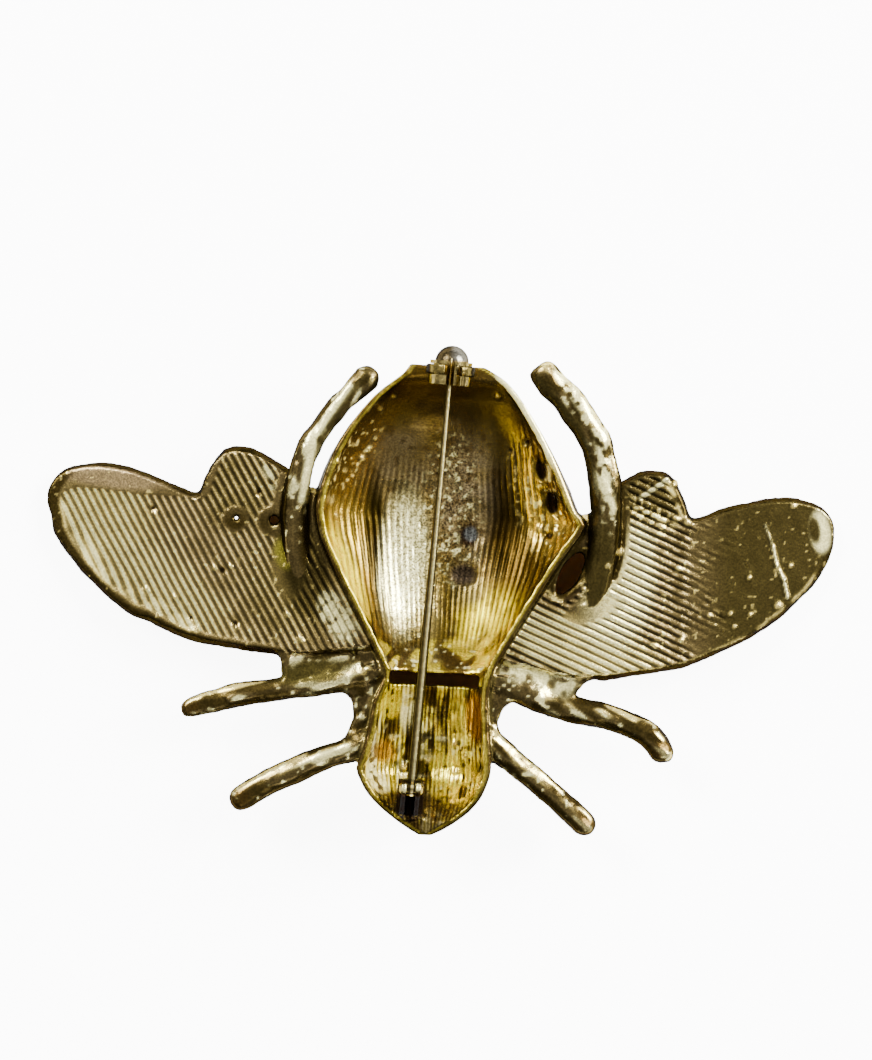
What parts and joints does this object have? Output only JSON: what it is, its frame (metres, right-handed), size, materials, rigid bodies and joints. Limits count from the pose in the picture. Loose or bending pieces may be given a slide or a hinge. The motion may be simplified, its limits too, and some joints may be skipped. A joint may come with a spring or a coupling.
{
  "type": "insect brooch",
  "caption": "Hollow cast bee brooch lying on its domed front, with spread wings, bent legs, a hinged pin stem and a turning catch.",
  "frame": {"origin": "centre of the bounding box, on the surface that the domed front rests on", "axes": "+X to the right wing seen from the back, +Y to the tail, +Z out of the open back"},
  "size_m": [0.0646, 0.0399, 0.0111],
  "materials": {
    "cast_gold": "bright plated, brushed and worn",
    "pin_wire": "bright plated wire",
    "catch_gold": "bright plated"
  },
  "bodies": {
    "brooch": {"casting": "cast_gold", "hinge_rivet": "pin_wire"},
    "stem": {"pin_stem": "pin_wire"},
    "barrel": {"catch_barrel": "catch_gold"}
  },
  "joints": [
    {"name": "stem_hinge", "type": "hinge", "parent": "brooch", "child": "stem", "pos_m": [-0.0013, -0.01613, 0.0088], "axis": [0.9991, -0.0419, 0], "range_deg": [0, 110]},
    {"name": "catch_turn", "type": "hinge", "parent": "brooch", "child": "barrel", "pos_m": [0.00013, 0.01795, 0.0088], "axis": [-0.0419, -0.9991, 0], "range_deg": [0, 110]}
  ]
}
